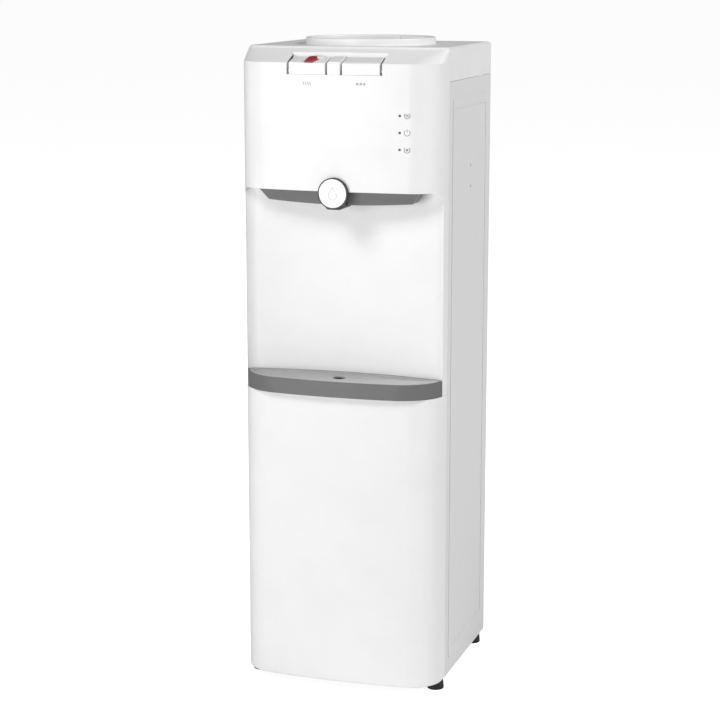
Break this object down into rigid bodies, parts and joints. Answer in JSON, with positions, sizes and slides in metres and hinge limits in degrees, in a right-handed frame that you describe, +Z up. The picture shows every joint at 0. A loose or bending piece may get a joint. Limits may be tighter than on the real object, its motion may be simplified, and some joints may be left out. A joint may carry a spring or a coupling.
{
  "type": "water dispenser",
  "caption": "Floor-standing hot and cold water dispenser with a top bottle collar, push buttons, a recessed glass space and a pull-out drip tray.",
  "frame": {"origin": "on the floor, in the middle of the width and of the whole depth", "axes": "+Z up, the front with the buttons and spout faces -Y, +X to the right seen from the front"},
  "size_m": [0.3124, 0.32, 0.982],
  "materials": {
    "white_abs": "moulded, satin",
    "white_gloss_abs": "moulded, glossy",
    "red_abs": "moulded, satin",
    "green_abs": "moulded, satin",
    "dark_grey_abs": "moulded, fine texture",
    "light_grey_abs": "moulded, satin",
    "mid_grey_abs": "moulded, satin",
    "black_abs": "moulded, satin",
    "natural_acetal": "moulded",
    "coated_steel": "powder coated, pale grey",
    "coated_screws": "painted heads",
    "galvanised_steel": "zinc coated sheet",
    "black_painted_steel": "black enamel",
    "stainless_steel": "drawn",
    "spring_steel": "bright wire",
    "copper_tube": "drawn copper",
    "black_rubber": "moulded",
    "silicone_tube": "translucent silicone",
    "smoked_lens": "polished",
    "circuit_board": "solder mask",
    "white_foam": "expanded foam",
    "glass_wool": "fibre blanket"
  },
  "bodies": {
    "cabinet": {"base_plate": "galvanised_steel", "bottle_collar": "white_abs", "button_divider": "white_abs", "button_hinge_pin": "stainless_steel", "button_well": "white_abs", "cold_return_spring": "spring_steel", "cold_tank": "stainless_steel", "cold_tank_lid": "natural_acetal", "cold_valve": "natural_acetal", "cold_water_tube": "silicone_tube", "compressor": "black_painted_steel", "compressor_mounts": "black_rubber", "condenser": "black_painted_steel", "condenser_brackets": "galvanised_steel", "control_box": "black_abs", "cord_gland": "black_abs", "drain_fitting": "black_abs", "evaporator_coil": "copper_tube", "foam_jacket": "white_foam", "heater_band": "stainless_steel", "hot_jacket": "glass_wool", "hot_return_spring": "spring_steel", "hot_tank": "stainless_steel", "hot_tank_bracket": "galvanised_steel", "hot_valve": "natural_acetal", "hot_water_tube": "silicone_tube", "led_board": "circuit_board", "led_lenses": "smoked_lens", "lower_front_panel": "white_abs", "middle_shelf": "galvanised_steel", "panel_screws": "coated_screws", "rear_panel": "coated_steel", "service_tubes": "silicone_tube", "side_panel_left": "coated_steel", "side_panel_right": "coated_steel", "spout_body": "black_abs", "spout_cap": "white_gloss_abs", "spout_housing": "mid_grey_abs", "spout_manifold": "natural_acetal", "spout_ring": "black_abs", "switch_bezels": "black_abs", "thermostats": "black_abs", "top_cover": "white_abs", "upper_front_panel": "white_abs"},
    "hot_button": {"hot_button": "white_abs"},
    "child_lock": {"child_lock_latch": "red_abs"},
    "cold_button": {"cold_button": "white_abs"},
    "hot_push_rod": {"hot_push_rod": "natural_acetal"},
    "cold_push_rod": {"cold_push_rod": "natural_acetal"},
    "drip_tray": {"drip_tray": "dark_grey_abs"},
    "drip_cover": {"drip_cover": "light_grey_abs"},
    "bottle_funnel": {"bottle_funnel": "white_abs", "bottle_probe": "white_abs"},
    "heat_switch": {"heat_switch_rocker": "red_abs"},
    "cool_switch": {"cool_switch_rocker": "green_abs"},
    "drain_cap": {"drain_cap": "black_abs"},
    "foot_front_left": {"foot_front_left": "black_rubber"},
    "foot_front_right": {"foot_front_right": "black_rubber"},
    "foot_rear_left": {"foot_rear_left": "black_rubber"},
    "foot_rear_right": {"foot_rear_right": "black_rubber"}
  },
  "joints": [
    {"name": "hot_button_press", "type": "hinge", "parent": "cabinet", "child": "hot_button", "pos_m": [-0.041, -0.1395, 0.9385], "axis": [-1, 0, 0], "range_deg": [0, 8], "stiffness_Nm_per_rad": 0.6, "springref_deg": -8.59},
    {"name": "cold_button_press", "type": "hinge", "parent": "cabinet", "child": "cold_button", "pos_m": [0.041, -0.1395, 0.9385], "axis": [-1, 0, 0], "range_deg": [0, 8], "stiffness_Nm_per_rad": 0.6, "springref_deg": -8.59},
    {"name": "child_lock_slide", "type": "slide", "parent": "hot_button", "child": "child_lock", "axis": [1, 0, 0], "range_m": [0, 0.006]},
    {"name": "hot_rod_slide", "type": "slide", "parent": "cabinet", "child": "hot_push_rod", "axis": [0, 0, -1], "range_m": [0, 0.004], "deforming": ["hot_return_spring"]},
    {"name": "cold_rod_slide", "type": "slide", "parent": "cabinet", "child": "cold_push_rod", "axis": [0, 0, -1], "range_m": [0, 0.004], "deforming": ["cold_return_spring"]},
    {"name": "tray_pull", "type": "slide", "parent": "cabinet", "child": "drip_tray", "axis": [0, -1, 0], "range_m": [0, 0.09]},
    {"name": "cover_lift", "type": "slide", "parent": "drip_tray", "child": "drip_cover", "axis": [0, 0, 1], "range_m": [0, 0.06]},
    {"name": "funnel_lift", "type": "slide", "parent": "cabinet", "child": "bottle_funnel", "axis": [0, 0, 1], "range_m": [0, 0.09]},
    {"name": "heat_switch_rock", "type": "hinge", "parent": "cabinet", "child": "heat_switch", "pos_m": [0.096, 0.1355, 0.88], "axis": [1, 0, 0], "range_deg": [0, 16]},
    {"name": "cool_switch_rock", "type": "hinge", "parent": "cabinet", "child": "cool_switch", "pos_m": [0.122, 0.1355, 0.88], "axis": [1, 0, 0], "range_deg": [0, 16]},
    {"name": "drain_cap_turn", "type": "hinge", "parent": "cabinet", "child": "drain_cap", "pos_m": [0, 0.144, 0.5302], "axis": [0, 1, 0], "continuous": true},
    {"name": "foot_front_left_extend", "type": "slide", "parent": "cabinet", "child": "foot_front_left", "axis": [0, 0, -1], "range_m": [0, 0.01]},
    {"name": "foot_front_right_extend", "type": "slide", "parent": "cabinet", "child": "foot_front_right", "axis": [0, 0, -1], "range_m": [0, 0.01]},
    {"name": "foot_rear_left_extend", "type": "slide", "parent": "cabinet", "child": "foot_rear_left", "axis": [0, 0, -1], "range_m": [0, 0.01]},
    {"name": "foot_rear_right_extend", "type": "slide", "parent": "cabinet", "child": "foot_rear_right", "axis": [0, 0, -1], "range_m": [0, 0.01]}
  ],
  "couplings": [
    {"joint": "hot_rod_slide", "follows": "hot_button_press", "m_per_rad": 0.016},
    {"joint": "cold_rod_slide", "follows": "cold_button_press", "m_per_rad": 0.016}
  ]
}
